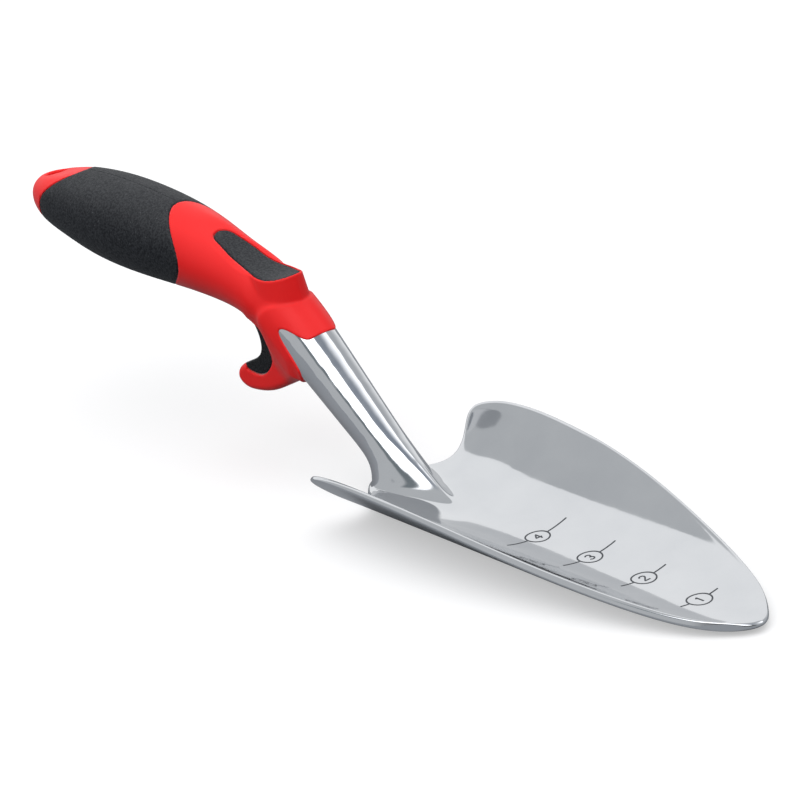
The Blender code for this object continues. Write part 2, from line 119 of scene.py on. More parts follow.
# Half outline of the thumb pad in plan, from its rear point to its front: x, y.
PAD_EDGE = [(-71.8, 0.0), (-70.6, 2.7), (-66.0, 4.15), (-58.0, 5.1), (-50.0, 5.4)]
PAD_EDGE += [(-42.0, 6.5), (-36.0, 5.6), (-31.9, 3.1), (-30.6, 0.0)]
PAD_THICKNESS = 1.8
BOSS_RIM = 0.9
BOSS_DEPTH = 12.0
BOSS_DRAFT = 1.9
# Height of the thumb boss's top along x.
SADDLE = [(-92.0, 82.6), (-80.0, 78.7), (-71.8, 75.4), (-62.0, 71.8)]
SADDLE += [(-53.0, 68.5), (-44.0, 66.6), (-37.0, 66.6), (-28.0, 69.0)]
HOOK_HALF_WIDTH = 7.0
FINGER_PAD_HALF_WIDTH = 6.6
# Curves of the finger hook in the symmetry plane: x, z.
HOOK_THROAT = [(-51.0, 50.4), (-47.6, 44.6), (-47.8, 38.6), (-52.4, 34.6), (-58.4, 31.8)]
PAD_BACK = [(-48.8, 50.4), (-43.2, 45.2), (-40.9, 39.2)]
PAD_BACK += [(-44.0, 33.0), (-51.0, 29.4), (-57.4, 30.0)]
HOOK_BELLY = [(-60.8, 30.6), (-63.4, 28.4), (-64.0, 25.4), (-61.4, 22.8)]
HOOK_BELLY += [(-55.0, 22.2), (-46.0, 24.0), (-38.0, 27.4), (-30.0, 32.0)]
HOOK_ROOT = [(-25.6, 35.0), (-26.0, 42.0), (-38.0, 54.0), (-50.0, 57.0)]
TAB_X = -158.0
TAB_Z = 80.2
TAB_SLOPE = math.radians(11.5)
HANG_HOLE_X = -170.0
HANG_HOLE_RADIUS = 4.0

# --- Moulded details that only the visual model has ---
# A shallow valley round the boss: depth and reach at the collar and further back.
BOSS_VALLEY = (0.6, 1.2)
BOSS_VALLEY_REACH = (3.5, 6.0)
BOSS_VALLEY_TURN = (-36.0, -42.0)  # stations between which it deepens
BOSS_VALLEY_FADE = (-50.0, -41.0)  # x between which it starts
# The hook's root widens where it runs into the collar.
HOOK_FLARE = 2.3
HOOK_FLARE_HEIGHT = (-17.0, -7.0)  # height from the spine
HOOK_FLARE_X = (-46.0, -37.0)
# Roundings of edges and fillets of joins.
HOOK_EDGE = 2.4
HOOK_FILLET = 4.0
COLLAR_ROUNDING = 0.5
BOSS_FOOT_ROUNDING = 2.0
BOSS_FILLET = 0.6
SADDLE_ROUNDING = 0.7
TAB_ROUNDING = 1.0
POCKET_ROUNDING = 0.35
SEAT_ROUNDING = 0.4
HOLE_ROUNDING = 0.9
SLEEVE_ROUNDING = 0.9
THUMB_PAD_ROUNDING = 0.9
THUMB_PAD_DROP = 0.05
FINGER_PAD_ROUNDING = 0.7
# Fine groove along the sleeve's top: turn in degrees and depth across it.
GROOVE = [(-1.6, 0.0), (-0.8, 0.05), (0.0, 0.22), (0.8, 0.05), (1.6, 0.0)]
GROOVE_CLEAR = 3.0
SHARP_ANGLE = math.radians(50.0)  # cut edges sharper than this stay sharp in the shading

# --- Sampling of the distance fields: corners of the grid, and its step ---
HANDLE_GRID = ((-185.5, -16.5, 20.5), (-15.0, 16.5, 85.0))
HANDLE_STEP, HANDLE_QUICK_STEP = 0.47, 0.6
ROUND_SIDES = 72  # sides of the socket's sections and of the marks' rings
HOLE_SIDES = 64
SOCKET_BEND_X = -44.5  # the socket's sections lie closer ahead of here
HOLE_REACH = 35.0  # half length of the hanging hole's cutter
SLEEVE_SIDES, SLEEVE_OUTER, SLEEVE_INNER, SLEEVE_EDGE = 180, 72, 40, 6
HOOK_POINTS, BELLY_POINTS, PAD_POINTS = 30, 36, 48
THUMB_PAD_GRID = ((-73.0, -8.0, 62.0), (-29.0, 8.0, 78.0))
FINGER_PAD_GRID = ((-62.0, -8.0, 27.0), (-38.5, 8.0, 52.5))
PAD_STEP = 0.3
SLOPE_STEP = 0.02
CHUNK = 20000  # points handled at a time, to save memory
TINY = 1e-9

# --- Depth marks: a ring, a digit and two side strokes, one inch apart from the tip ---
MARK_TIP_X = 185.0
INCH = 25.4
MARK_LENGTHS = [15.4, 18.6, 21.8, 24.8]  # from the tip's mark to the neck's
MARK_CIRCLE = 4.0
MARK_STROKE = 0.54
MARK_PROUD = 0.06
MARK_DEPTH = 0.3
HIGH_ABOVE = 60.0  # rays that find the blade's upper face start here
STROKE_SPACING, DIGIT_SPACING = 0.5, 0.4
DIGIT_HALF_HEIGHT = 1.75
DIGIT_NARROWING = 0.9
# Strokes of the digits in a unit square: u to the right, v up.
DIGITS = {
    1: [[(-0.30, 0.62), (0.12, 1.0), (0.12, -1.0)]],
    2: [
        [(-0.62, 0.55), (-0.42, 0.90), (0.0, 1.0), (0.42, 0.88), (0.60, 0.52), (0.42, 0.10)]
        + [(-0.10, -0.40), (-0.64, -1.0), (0.70, -1.0)]
    ],
    3: [
        [(-0.60, 0.72), (-0.25, 1.0), (0.22, 0.98), (0.52, 0.68), (0.42, 0.25), (0.0, 0.06)]
        + [(0.46, -0.12), (0.64, -0.52), (0.36, -0.92), (-0.16, -1.0), (-0.62, -0.70)]
    ],
    4: [[(0.34, -1.0), (0.34, 1.0), (-0.72, -0.36), (0.78, -0.36)]],
}

# --- Camera: a long lens, 35 degrees round from the tip and 22 degrees up ---
CAMERA_PLACE = (1.00171, -0.70055, 0.53600)
CAMERA_RIGHT = (0.61886, 0.77415, -0.13307)
CAMERA_UP = (-0.22547, 0.33735, 0.91398)
CAMERA_BACK = (0.75245, -0.53562, 0.38332)
CAMERA_LENS, CAMERA_SENSOR = 180.0, 36.0
CAMERA_CLIP = (0.05, 50.0)

# --- Floor, room and sky ---
FLOOR_HALF_SIZE = 6.0
FLOOR_GLOW = 0.42  # lifts the floor's shadows for the camera only
# Floor colours: a pair that the camera sees, then what polished and matt surfaces receive.
FLOOR_SEEN = ((0.50, 0.50, 0.50, 1), (0.52, 0.52, 0.52, 1))
FLOOR_MIRRORED = (0.22, 0.232, 0.245, 1)
FLOOR_BOUNCE = (0.08, 0.084, 0.088, 1)
# The room that polished metal mirrors. Its edges are pairs: where a surface starts to show, and
# where it shows in full, in degrees of azimuth (turn) or elevation (top, rise).
ROOM_GREY = (0.47, 0.485, 0.50, 1)
CEILING_DIM = (0.24, 0.27, 0.32, 1)
CEILING_RISE = (45.0, 70.0)
CEILING_AHEAD = (0.02, 0.22)  # along x of the unit sphere
SIDE_GREY = (0.44, 0.455, 0.475, 1)
SIDE_TURN, SIDE_TOP = (130.0, 100.0), (48.0, 40.0)
SWEEP_WHITE = (0.86, 0.87, 0.88, 1)
SWEEP_START, SWEEP_END, SWEEP_TOP = (84.0, 112.0), (185.8, 184.8), (50.0, 48.0)
CAMERA_SIDE_DARK = (0.10, 0.105, 0.11, 1)
CAMERA_SIDE = (325.0, 8.0)  # azimuth, elevation
CAMERA_SIDE_EDGE = (0.72, 0.94)  # cosine of the angle from it
# Soft boxes and the dark frame of one, as the polished neck mirrors them. Each row holds the turns
# about the neck's axis where it starts and ends, with 0 for what the camera sees straight on, the
# softness of both ends in degrees, and the light.
BANDS = [
    ((-33.0, -16.0), (2.0, 2.0), (0.17, 0.195, 0.21)),
    ((-22.0, 19.0), (2.5, 3.0), (2.4, 2.42, 2.46)),
    ((60.0, 80.0), (22.0, 3.0), (1.5, 1.52, 1.56)),
]
BAND_REACH = (-0.50, 0.25)  # where the bands start and end along the neck's axis
BAND_SOFTNESS = 0.04
FRAME_END = (-0.15, -0.25)  # the dark frame fades out here, before the foot mirrors it
# Light lost at a second mirroring, and the colour it goes to. The depth counts mirrorings.
SECOND_MIRROR = (1.4, 1.6)
SECOND_MIRROR_LOSS = 0.28
SECOND_MIRROR_COLOUR = (0.05, 0.055, 0.06, 1)
# The soft sky that matt surfaces see: strength low and high up, its tint, and a fill from one side.
SKY_LOW, SKY_HIGH = 0.34, 1.8
SKY_RISE = (8.0, 70.0)
SKY_TINT = (1.0, 1.005, 1.02)
FILL_FROM = (262.0, 15.0)  # azimuth, elevation
FILL_STRENGTH = 0.45


# --- Curves ---


class Spline:
    """The natural cubic spline through rows of (t, value, ...), straight beyond its ends."""

    def __init__(self, knots):
        table = np.array(knots, dtype=float)
        table = table[np.argsort(table[:, 0])]
        self.t = table[:, 0]
        self.values = table[:, 1:]
        self.step = np.diff(self.t)
        slope = np.diff(self.values, axis=0) / self.step[:, None]
        system = np.eye(len(self.t))
        right = np.zeros_like(self.values)
        for i in range(1, len(self.t) - 1):
            before, after = self.step[i - 1], self.step[i]
            system[i, i - 1 : i + 2] = (before, 2 * (before + after), after)
            right[i] = 6 * (slope[i] - slope[i - 1])
        self.bend = np.linalg.solve(system, right)

    def __call__(self, x, column=0, derivative=False):
        """Value or slope of one column at x, of any shape."""
        i = np.clip(np.searchsorted(self.t, x) - 1, 0, len(self.step) - 1)
        h = self.step[i]
        inner = np.clip(x, self.t[0], self.t[-1])
        b = (inner - self.t[i]) / h
        a = 1 - b
        low, high = self.values[i, column], self.values[i + 1, column]
        bend_low, bend_high = self.bend[i, column], self.bend[i + 1, column]
        slope = (high - low) / h
        slope = slope + h * ((3 * b**2 - 1) * bend_high - (3 * a**2 - 1) * bend_low) / 6
        if derivative:
            return slope
        curve = (a**3 - a) * bend_low + (b**3 - b) * bend_high
        return a * low + b * high + curve * h**2 / 6 + slope * (x - inner)


def smooth_path(points, count):
    """Sample count points along a spline through points, spaced by its chord length."""
    points = np.array(points, dtype=float)
    reach = np.concatenate([[0.0], np.cumsum(np.linalg.norm(np.diff(points, axis=0), axis=1))])
    path = Spline(np.column_stack([reach, points]))
    at = np.linspace(0.0, reach[-1], count)
    return np.column_stack([path(at, 0), path(at, 1)])


handle_at = Spline(HANDLE)
collar_at = Spline(COLLAR_EDGE)
saddle_at = Spline(SADDLE)
NECK_SLOPE = -math.tan(NECK_PITCH)


def spine_height(s):
    """Height of the spine at station s: straight along the neck, curved through the handle."""
    return np.where(s > NECK_X, NECK_Z + (s - NECK_X) * NECK_SLOPE, handle_at(s, 0))


def spine_slope(s):
    return np.where(s > NECK_X, NECK_SLOPE, handle_at(s, 0, derivative=True))


def body_radius(s):
    """Radius of the handle's round body at station s."""
    return np.sqrt(np.maximum(handle_at(s, 1), 0.01))


def smoothstep(low, high, x):
    u = np.clip((x - low) / (high - low), 0.0, 1.0)
    return u * u * (3 - 2 * u)


def casting_radius(x, ease=0.0):
    """Radius of the neck and tang at station x; ease moves the step between them rearwards."""
    neck = NECK_RADIUS - NECK_TAPER * (x - NECK_X)
    along = (x - TANG_FULL) / (TANG_STATIONS[-1] - TANG_FULL)
    tang = TANG_RADIUS_FRONT + (TANG_RADIUS_REAR - TANG_RADIUS_FRONT) * along
    return tang + (neck - tang) * smoothstep(TANG_FULL - ease, TANG_START - ease, x)


def round_turns(count):
    """Angles once round, evenly spaced, without the full turn."""
    return np.linspace(0, 2 * math.pi, count, endpoint=False)


def section_points(s, angle, radius):
    """Points of round sections at stations s; angle 0 is the top. Arrays broadcast."""
    slope = spine_slope(s)
    size = np.sqrt(1 + slope**2)
    painted_brightness = radius * np.cos(angle)
    x = s - slope / size * painted_brightness
    z = spine_height(s) + painted_brightness / size
    y = radius * np.sin(angle) + 0 * x
    return np.stack(np.broadcast_arrays(x, y, z), axis=-1)


def along_spine(x, z):
    """Station of the section that holds each point of the symmetry plane, and its height in it."""
    samples = np.linspace(TAIL_X - 6.0, 12.0, 200)  # first guesses, refined below
    heights = spine_height(samples)
    flat_x, flat_z = np.broadcast_arrays(x, z)
    shape = flat_x.shape
    flat_x, flat_z = flat_x.ravel(), flat_z.ravel()
    s = np.empty_like(flat_x)
    for start in range(0, len(s), CHUNK):
        part = slice(start, start + CHUNK)
        gap = (flat_x[part, None] - samples) ** 2 + (flat_z[part, None] - heights) ** 2
        s[part] = samples[np.argmin(gap, axis=1)]
    for _ in range(4):
        slope = spine_slope(s)
        rise = flat_z - spine_height(s)
        bend = (spine_slope(s + 0.05) - spine_slope(s - 0.05)) / 0.1
        s = s + (flat_x - s + rise * slope) / np.maximum(1 + slope**2 - rise * bend, 0.3)
    slope = spine_slope(s)
    up = ((s - flat_x) * slope + flat_z - spine_height(s)) / np.sqrt(1 + slope**2)
    return s.reshape(shape), up.reshape(shape)


# --- Distance fields ---


def join(a, b, k):
    """Union of two fields (negative inside), with a fillet of about k."""
    h = np.clip(0.5 + 0.5 * (b - a) / k, 0, 1)
    return b + (a - b) * h - k * h * (1 - h)


def meet(a, b, k):
    """Intersection of two fields, with an edge rounded by about k."""
    return -join(-a, -b, k)


def polygon_distance(u, v, outline):
    """Signed distance in a plane to a closed outline, negative inside."""
    shape = np.broadcast(u, v).shape
    u, v = np.broadcast_to(u, shape), np.broadcast_to(v, shape)
    best = np.full(shape, 1e9)
    inside = np.zeros(shape, bool)
    for (u0, v0), (u1, v1) in zip(outline, np.roll(outline, -1, axis=0)):
        du, dv = u1 - u0, v1 - v0
        t = np.clip(((u - u0) * du + (v - v0) * dv) / max(du * du + dv * dv, 1e-12), 0, 1)
        best = np.minimum(best, (u - u0 - t * du) ** 2 + (v - v0 - t * dv) ** 2)
        crosses = (v0 > v) != (v1 > v)
        inside ^= crosses & (u < u0 + (v - v0) * du / (dv if dv else 1e-12))
    return np.where(inside, -1.0, 1.0) * np.sqrt(best)


def slab(profile, y, half_width, edge):
    """A flat profile's field extruded to half_width on both sides, with edges rounded by edge."""
    a = profile + edge
    b = np.abs(y) - half_width + edge
    return np.minimum(np.maximum(a, b), 0) + np.hypot(np.maximum(a, 0), np.maximum(b, 0)) - edge


def pad_outline():
    """Closed teardrop outline of the thumb pad in plan."""
    half = smooth_path(PAD_EDGE, PAD_POINTS)
    return np.concatenate([half, (half * (1, -1))[-2:0:-1]])


def finger_pad_profile():
    """Closed outline of the finger pad in the symmetry plane."""
    throat, back = smooth_path(HOOK_THROAT, HOOK_POINTS), smooth_path(PAD_BACK, HOOK_POINTS)
    return np.concatenate([throat, back[::-1]])


def hook_profile():
    """Closed outline of the finger hook in the symmetry plane."""
    throat, belly = smooth_path(HOOK_THROAT, HOOK_POINTS), smooth_path(HOOK_BELLY, BELLY_POINTS)
    return np.concatenate([throat, belly, HOOK_ROOT])


def sleeve_ends(angle):
    """Rear and front stations of the sleeve at an angle from the top."""
    side = math.pi - np.abs(math.pi - angle)
    rear = SLEEVE_REAR_X - SLEEVE_REAR_RAKE * smoothstep(0.0, SLEEVE_REAR_TURN, side)
    rear = rear - SLEEVE_REAR_LEAN * np.sin(angle / 2) ** 4
    front = SLEEVE_FRONT_X - SLEEVE_FRONT_WAVE * np.cos(2 * angle)
    return rear, front


def hang_hole_z():
    """Height of the hanging hole's centre in the tab's upper face."""
    return TAB_Z + math.tan(TAB_SLOPE) * (HANG_HOLE_X - TAB_X)


def hang_hole_distance(x, y, z):
    """Distance outside the hanging hole's wall."""
    across = (x - HANG_HOLE_X) * math.cos(TAB_SLOPE) + (z - hang_hole_z()) * math.sin(TAB_SLOPE)
    return np.hypot(across, y) - HANG_HOLE_RADIUS


def between(pair, share):
    return pair[0] + (pair[1] - pair[0]) * share


def body_field(s, rho):
    """The round handle body, from its distance to the spine."""
    square, fall = handle_at(s, 1), handle_at(s, 1, derivative=True)
    return (rho**2 - square) / np.sqrt(4 * rho**2 + fall**2 + 1e-6)


def valley_depth(s, x, plan):
    """How far the body sinks beside the thumb boss."""
    rear = smoothstep(*BOSS_VALLEY_TURN, s)
    near = smoothstep(1.0, 0.4, plan / between(BOSS_VALLEY_REACH, rear))
    return between(BOSS_VALLEY, rear) * smoothstep(*BOSS_VALLEY_FADE, x) * near


def collar_field(s, rho, turn):
    """Distance ahead of the collar's front edge; turn is the angle from the top in degrees."""
    lean = np.degrees(collar_at(turn, derivative=True)) / np.maximum(rho, 4.0)
    pitch = np.sqrt(1 + spine_slope(s) ** 2)
    return (s - collar_at(turn)) * pitch / np.sqrt(1 + (lean * pitch) ** 2)


def hook_field(x, y, z, up):
    """The finger hook, wider at its root; up is the height from the spine."""
    flare = smoothstep(*HOOK_FLARE_HEIGHT, up) * smoothstep(*HOOK_FLARE_X, x)
    width = HOOK_HALF_WIDTH + HOOK_FLARE * flare
    return slab(polygon_distance(x, z, hook_profile()), y, width, HOOK_EDGE)


def handle_field(x, y, z):
    """The red moulding, with its pad pockets, sleeve seat and hanging hole but no socket."""
    s, up = along_spine(x, z)
    rho = np.hypot(up, y)
    angle = np.arctan2(np.abs(y), up)
    plan = polygon_distance(x, y, pad_outline())
    body = body_field(s, rho) + valley_depth(s, x, plan)
    shape = meet(body, collar_field(s, rho, np.degrees(angle)), COLLAR_ROUNDING)
    shape = join(shape, hook_field(x, y, z, up), HOOK_FILLET)

    depth = saddle_at(x) - z
    draft = BOSS_DRAFT / BOSS_DEPTH
    wall = (plan - BOSS_RIM - draft * np.maximum(depth, 0)) / math.hypot(1, draft)
    shape = join(shape, meet(wall, depth - BOSS_DEPTH, BOSS_FOOT_ROUNDING), BOSS_FILLET)
    steep = np.sqrt(1 + saddle_at(x, derivative=True) ** 2)
    shape = meet(shape, -depth / steep, SADDLE_ROUNDING)
    tab = (z - TAB_Z) * math.cos(TAB_SLOPE) - (x - TAB_X) * math.sin(TAB_SLOPE)
    shape = meet(shape, tab, TAB_ROUNDING)

    pocket = np.maximum(plan - GAP, (depth - PAD_THICKNESS - GAP) / steep)
    shape = meet(shape, -pocket, POCKET_ROUNDING)
    rear, front = sleeve_ends(angle)
    seat = np.maximum(rear - GAP - s, s - front - GAP)
    seat = np.maximum(seat, body_radius(s) - SLEEVE_WALL - GAP - rho)
    shape = meet(shape, -seat, SEAT_ROUNDING)
    shape = meet(shape, -hang_hole_distance(x, y, z), HOLE_ROUNDING)
    finger = polygon_distance(x, z, finger_pad_profile()) - GAP
    return meet(shape, -finger, SEAT_ROUNDING)


def thumb_pad_field(x, y, z):
    """A layer of even thickness under the saddle, inside the pad's outline."""
    depth = saddle_at(x) - z
    steep = np.sqrt(1 + saddle_at(x, derivative=True) ** 2)
    plan = polygon_distance(x, y, pad_outline())
    top = meet(plan, (-depth - THUMB_PAD_DROP) / steep, THUMB_PAD_ROUNDING)
    return np.maximum(top, (depth - PAD_THICKNESS) / steep)


def finger_pad_field(x, y, z):
    """The lining of the hook's throat."""
    profile = polygon_distance(x, z, finger_pad_profile())
    return slab(profile, y, FINGER_PAD_HALF_WIDTH, FINGER_PAD_ROUNDING)


def surface_of(field, low, high, step):
    """Vertices and quads of a field's zero surface, sampled on a grid and pulled onto it."""
    axes = [np.arange(a, b + step, step) for a, b in zip(low, high)]
    grid = field(axes[0][:, None, None], axes[1][None, :, None], axes[2][None, None, :])
    grid = np.broadcast_to(grid, [len(a) for a in axes])
    inside = grid < 0
    cells = [n - 1 for n in inside.shape]
    corner_offsets = [(i, j, k) for i in (0, 1) for j in (0, 1) for k in (0, 1)]
    filled = np.zeros(cells, np.int8)
    for i, j, k in corner_offsets:
        filled += inside[i : cells[0] + i, j : cells[1] + j, k : cells[2] + k]
    active = (filled > 0) & (filled < 8)
    number = np.full(cells, -1, np.int64)
    number[active] = np.arange(active.sum())
    cell = np.argwhere(active)
    total = np.zeros((len(cell), 3))
    hits = np.zeros(len(cell))
    for a in corner_offsets:
        for axis in range(3):
            if a[axis]:
                continue
            b = tuple(1 if n == axis else a[n] for n in range(3))
            at_a = grid[tuple((cell + a).T)]
            at_b = grid[tuple((cell + b).T)]
            crossing = (at_a < 0) != (at_b < 0)
            t = np.where(crossing, at_a / np.where(crossing, at_a - at_b, 1.0), 0.0)
            point = np.array(a, float) + np.outer(t, np.array(b) - np.array(a))
            total[crossing] += point[crossing]
            hits[crossing] += 1
    vertices = np.array(low) + step * (cell + total / hits[:, None])
    for _ in range(3):
        vertices = pull(field, vertices, 0.5 * step)
    quads = []
    for axis in range(3):
        lower = inside[tuple(slice(None, -1) if n == axis else slice(None) for n in range(3))]
        upper = inside[tuple(slice(1, None) if n == axis else slice(None) for n in range(3))]
        node = np.argwhere(lower != upper)
        u, v = (axis + 1) % 3, (axis + 2) % 3
        step_u, step_v = np.eye(3, dtype=int)[u], np.eye(3, dtype=int)[v]
        ring = [node - step_u - step_v, node - step_v, node, node - step_u]
        quad = np.stack([number[tuple(r.T)] for r in ring], axis=1)
        flip = ~lower[tuple(node.T)]
        quad[flip] = quad[flip][:, ::-1]
        quads.append(quad)
    return vertices, np.concatenate(quads)


def pull(field, points, most):
    """Move points onto the field's zero surface, by at most this much."""
    x, y, z = points.T
    value = field(x, y, z)
    e = SLOPE_STEP
    slope = np.stack(
        [
            field(x + e, y, z) - field(x - e, y, z),
            field(x, y + e, z) - field(x, y - e, z),
            field(x, y, z + e) - field(x, y, z - e),
        ],
        axis=1,
    ) / (2 * e)
    size = np.maximum((slope**2).sum(axis=1), 0.2)
    move = slope * (value / size)[:, None]
    length = np.linalg.norm(move, axis=1)
    return points - move * np.minimum(1, most / np.maximum(length, TINY))[:, None]


# --- Objects ---


def make_object(name, vertices, faces):
    """A smooth mesh object from vertices in millimetres in the drawing's frame."""
    mesh = bpy.data.meshes.new(name)
    place = (np.array(vertices, float) - np.array(ORIGIN)) * MM
    mesh.from_pydata(place.tolist(), [], [tuple(f) for f in faces])
    mesh.validate()
    mesh.shade_smooth()
    obj = bpy.data.objects.new(name, mesh)
    bpy.context.scene.collection.objects.link(obj)
    return obj


def face_outwards(obj):
    """Turn a closed mesh's faces outwards."""
    shape = bmesh.new()
    shape.from_mesh(obj.data)
    bmesh.ops.recalc_face_normals(shape, faces=shape.faces)
    shape.to_mesh(obj.data)
    shape.free()
    return obj


def moulded(name, field, grid, step):
    """A mesh object of a field's zero surface, sampled between the grid's two corners."""
    vertices, quads = surface_of(field, *grid, step)
    return face_outwards(make_object(name, vertices, quads.tolist()))


def cut(target, cutter):
    """Take cutter away from target for good."""
    step = target.modifiers.new("cut", "BOOLEAN")
    step.operation = "DIFFERENCE"
    step.solver = "MANIFOLD"
    step.object = cutter
    bpy.context.view_layer.update()
    graph = bpy.context.evaluated_depsgraph_get()
    final = bpy.data.meshes.new_from_object(target.evaluated_get(graph))
    target.modifiers.clear()
    target.data = final
    final.shade_smooth()
    final.set_sharp_from_angle(angle=SHARP_ANGLE)
    bpy.data.objects.remove(cutter, do_unlink=True)
    return target


def numbered(rings):
    """Vertex numbers of each ring, when rings of equal count follow one another."""
    return np.arange(len(rings) * len(rings[0])).reshape(len(rings), -1).tolist()


def skin(rings, closed=False):
    """Quads between rings of vertex numbers; closed joins the last ring to the first."""
    faces = []
    for lower, upper in zip(rings, rings[1:] + rings[: int(closed)]):
        for k in range(len(lower)):
            n = (k + 1) % len(lower)
            faces.append([lower[k], lower[n], upper[n], upper[k]])
    return faces


def round_bar(name, rings):
    """A closed bar through rings of equal count, with flat ends."""
    numbers = numbered(rings)
    faces = [numbers[0], numbers[-1]] + skin(numbers)
    return face_outwards(make_object(name, np.concatenate(rings), faces))


def make_socket():
    """The hollow round the neck and tang."""
    turns = round_turns(ROUND_SIDES)
    rear = TANG_STATIONS[-1] - SOCKET_END_ROOM
    coarse = np.linspace(rear, SOCKET_BEND_X - 0.5, 30)
    stations = np.concatenate([coarse, np.linspace(SOCKET_BEND_X + 0.5, 0.0, 45)])
    rings = []
    for s in stations:
        radius = casting_radius(max(s, TANG_STATIONS[-1]), SOCKET_EASE) + GAP
        rings.append(section_points(np.array(s), turns, radius))
    return round_bar("socket", rings)


def hang_hole():
    """A bar through the tab, square to its upper face."""
    turns = round_turns(HOLE_SIDES)
    across = HANG_HOLE_RADIUS * np.cos(turns)
    rings = []
    for along in (-HOLE_REACH, HOLE_REACH):
        x = HANG_HOLE_X + across * math.cos(TAB_SLOPE) - along * math.sin(TAB_SLOPE)
        z = hang_hole_z() + across * math.sin(TAB_SLOPE) + along * math.cos(TAB_SLOPE)
        rings.append(np.column_stack([x, HANG_HOLE_RADIUS * np.sin(turns), z]))
    return round_bar("hole", rings)


def finish_piece(obj, node, material, mirrored=False):
    """Give a piece its material: it stands for its CAD node, which is hidden, and rides on the one
    body.

    The polished casting mirrors a piece only if mirrored is set.
    """
    obj.visible_glossy = mirrored
    obj.data.materials.clear()
    obj.data.materials.append(material)
    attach(obj, "root")
    if node:
        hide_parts(node)
    return obj


# --- Casting ---


def trough_point(x, y, face):
    """A point of the blade's upper (face 0) or lower (face 1) surface at plan position x, y."""
    angle = math.asin(y / TROUGH_RADIUS)
    radius = TROUGH_RADIUS + face * BLADE_THICKNESS
    u = max((x - TIP_LIFT_START) / (TIP_X - TIP_LIFT_START), 0.0)
    height = BLADE_THICKNESS + TROUGH_RADIUS - radius * math.cos(angle) + TIP_LIFT * u * u
    return Vector((x, radius * math.sin(angle), height))


def blade_plan(row, column):
    """Plan position of a cage vertex, for a column on the +Y side."""
    share = COLUMNS[column]
    if row < len(BLADE_ROWS):
        x_centre, x_rim, half_width = BLADE_ROWS[row]
        return x_centre + (x_rim - x_centre) * share**2, half_width * share
    row -= len(BLADE_ROWS)
    if row == len(SHOULDER_ROWS):
        return REAR_EDGE[column]
    x_flank, x_rim, half_width = SHOULDER_ROWS[row]
    if column >= FLANK:
        u = (share - COLUMNS[FLANK]) / (1 - COLUMNS[FLANK])
        return x_flank + (x_rim - x_flank) * u, half_width * share
    side_x, side_y = FOOT[row + 2]
    u = column / (FLANK - 1)
    return FOOT_CENTRE_X[row] + (side_x - FOOT_CENTRE_X[row]) * u, side_y * u


def foot_loop():
    """Cage places (row, signed column) of the foot's outline, once round from the front point."""
    first = len(BLADE_ROWS)
    half = [(first, 0), (first, 1), (first, 2), (first + 1, 2), (first + 2, 2)]
    half += [(first + 3, 2), (first + 3, 1), (first + 3, 0)]
    return half + [(row, -column) for row, column in half[-2:0:-1]]


def crease_along(obj, indices, amount):
    """Sharpen the edges whose both ends are in indices, leaving out those across the rim."""
    mesh = obj.data
    values = np.zeros(len(mesh.edges), np.float32)
    for edge in mesh.edges:
        a, b = edge.vertices
        if a in indices and b in indices:
            gap = (mesh.vertices[a].co - mesh.vertices[b].co).length
            values[edge.index] = amount if gap > ACROSS_RIM else 0.0
    attribute = mesh.attributes.new("crease_edge", "FLOAT", "EDGE")
    attribute.data.foreach_set("value", values)


def make_casting():
    """Blade, neck and tang in one subdivided cage."""
    rows = len(BLADE_ROWS) + len(SHOULDER_ROWS) + 1
    reach = len(COLUMNS) - 1
    vertices = []
    place = {}
    loop = foot_loop()
    half = len(FOOT) - 1
    for face in (0, 1):
        for row in range(rows):
            for column in range(-reach, reach + 1):
                x, y = blade_plan(row, abs(column))
                side = -1 if column < 0 else 1
                if face == 0 and (row, column) in loop:
                    turn = loop.index((row, column))
                    x, y = FOOT[min(turn, 2 * half - turn)]
                point = trough_point(x, y, face)
                place[face, row, column] = len(vertices)
                vertices.append((point.x, side * point.y, point.z))

    faces = []
    top = len(BLADE_ROWS)
    for face in (0, 1):
        for row in range(rows - 1):
            for column in range(-reach, reach):
                under_foot = top <= row < top + FOOT_ROWS - 1 and -2 <= column < 2
                if face == 0 and under_foot:
                    continue
                corners = [(0, 0), (0, 1), (1, 1), (1, 0)]
                faces.append([place[face, row + i, column + j] for i, j in corners])
    sides = (-reach, reach)
    for row in range(rows - 1):
        for side in sides:
            corners = [(0, row), (0, row + 1), (1, row + 1), (1, row)]
            faces.append([place[face, at, side] for face, at in corners])
    for column in range(-reach, reach):
        for row in (0, rows - 1):
            ends = (column, column + 1)
            faces.append([place[0, row, c] for c in ends] + [place[1, row, c] for c in ends[::-1]])

    count = len(loop)
    turns = np.array([2 * math.pi * k / count for k in range(count)])
    rings = [[place[0, row, column] for row, column in loop]]
    stations = NECK_STATIONS + TANG_STATIONS
    swell = 1 + (1 - math.cos(turns[1])) / 3  # subdivision shrinks a ring of few sides
    rounds = [section_points(np.array(x), turns, swell * casting_radius(x)) for x in stations]
    foot = np.array([vertices[index] for index in rings[0]])
    fillet = foot + (rounds[0] - foot) * FILLET_SHARE
    for ring in [fillet] + rounds:
        rings.append(list(range(len(vertices), len(vertices) + count)))
        vertices.extend(tuple(point) for point in ring)
    faces += skin(rings)
    faces.append(rings[-1])
    casting = face_outwards(make_object("cast_head", vertices, faces))
    rim = {place[face, row, side] for face in (0, 1) for row in range(rows) for side in sides}
    crease_along(casting, rim, RIM_CREASE)
    smooth = casting.modifiers.new("smooth", "SUBSURF")
    smooth.levels = CASTING_LEVELS
    smooth.render_levels = CASTING_LEVELS
    foot_group = casting.vertex_groups.new(name="foot")
    foot_group.add(rings[0] + rings[1], 1.0, "REPLACE")
    ease = casting.modifiers.new("ease", "SMOOTH")
    ease.factor = 0.5
    ease.iterations = FOOT_EASING
    ease.vertex_group = "foot"
    return casting


# --- Sleeve ---


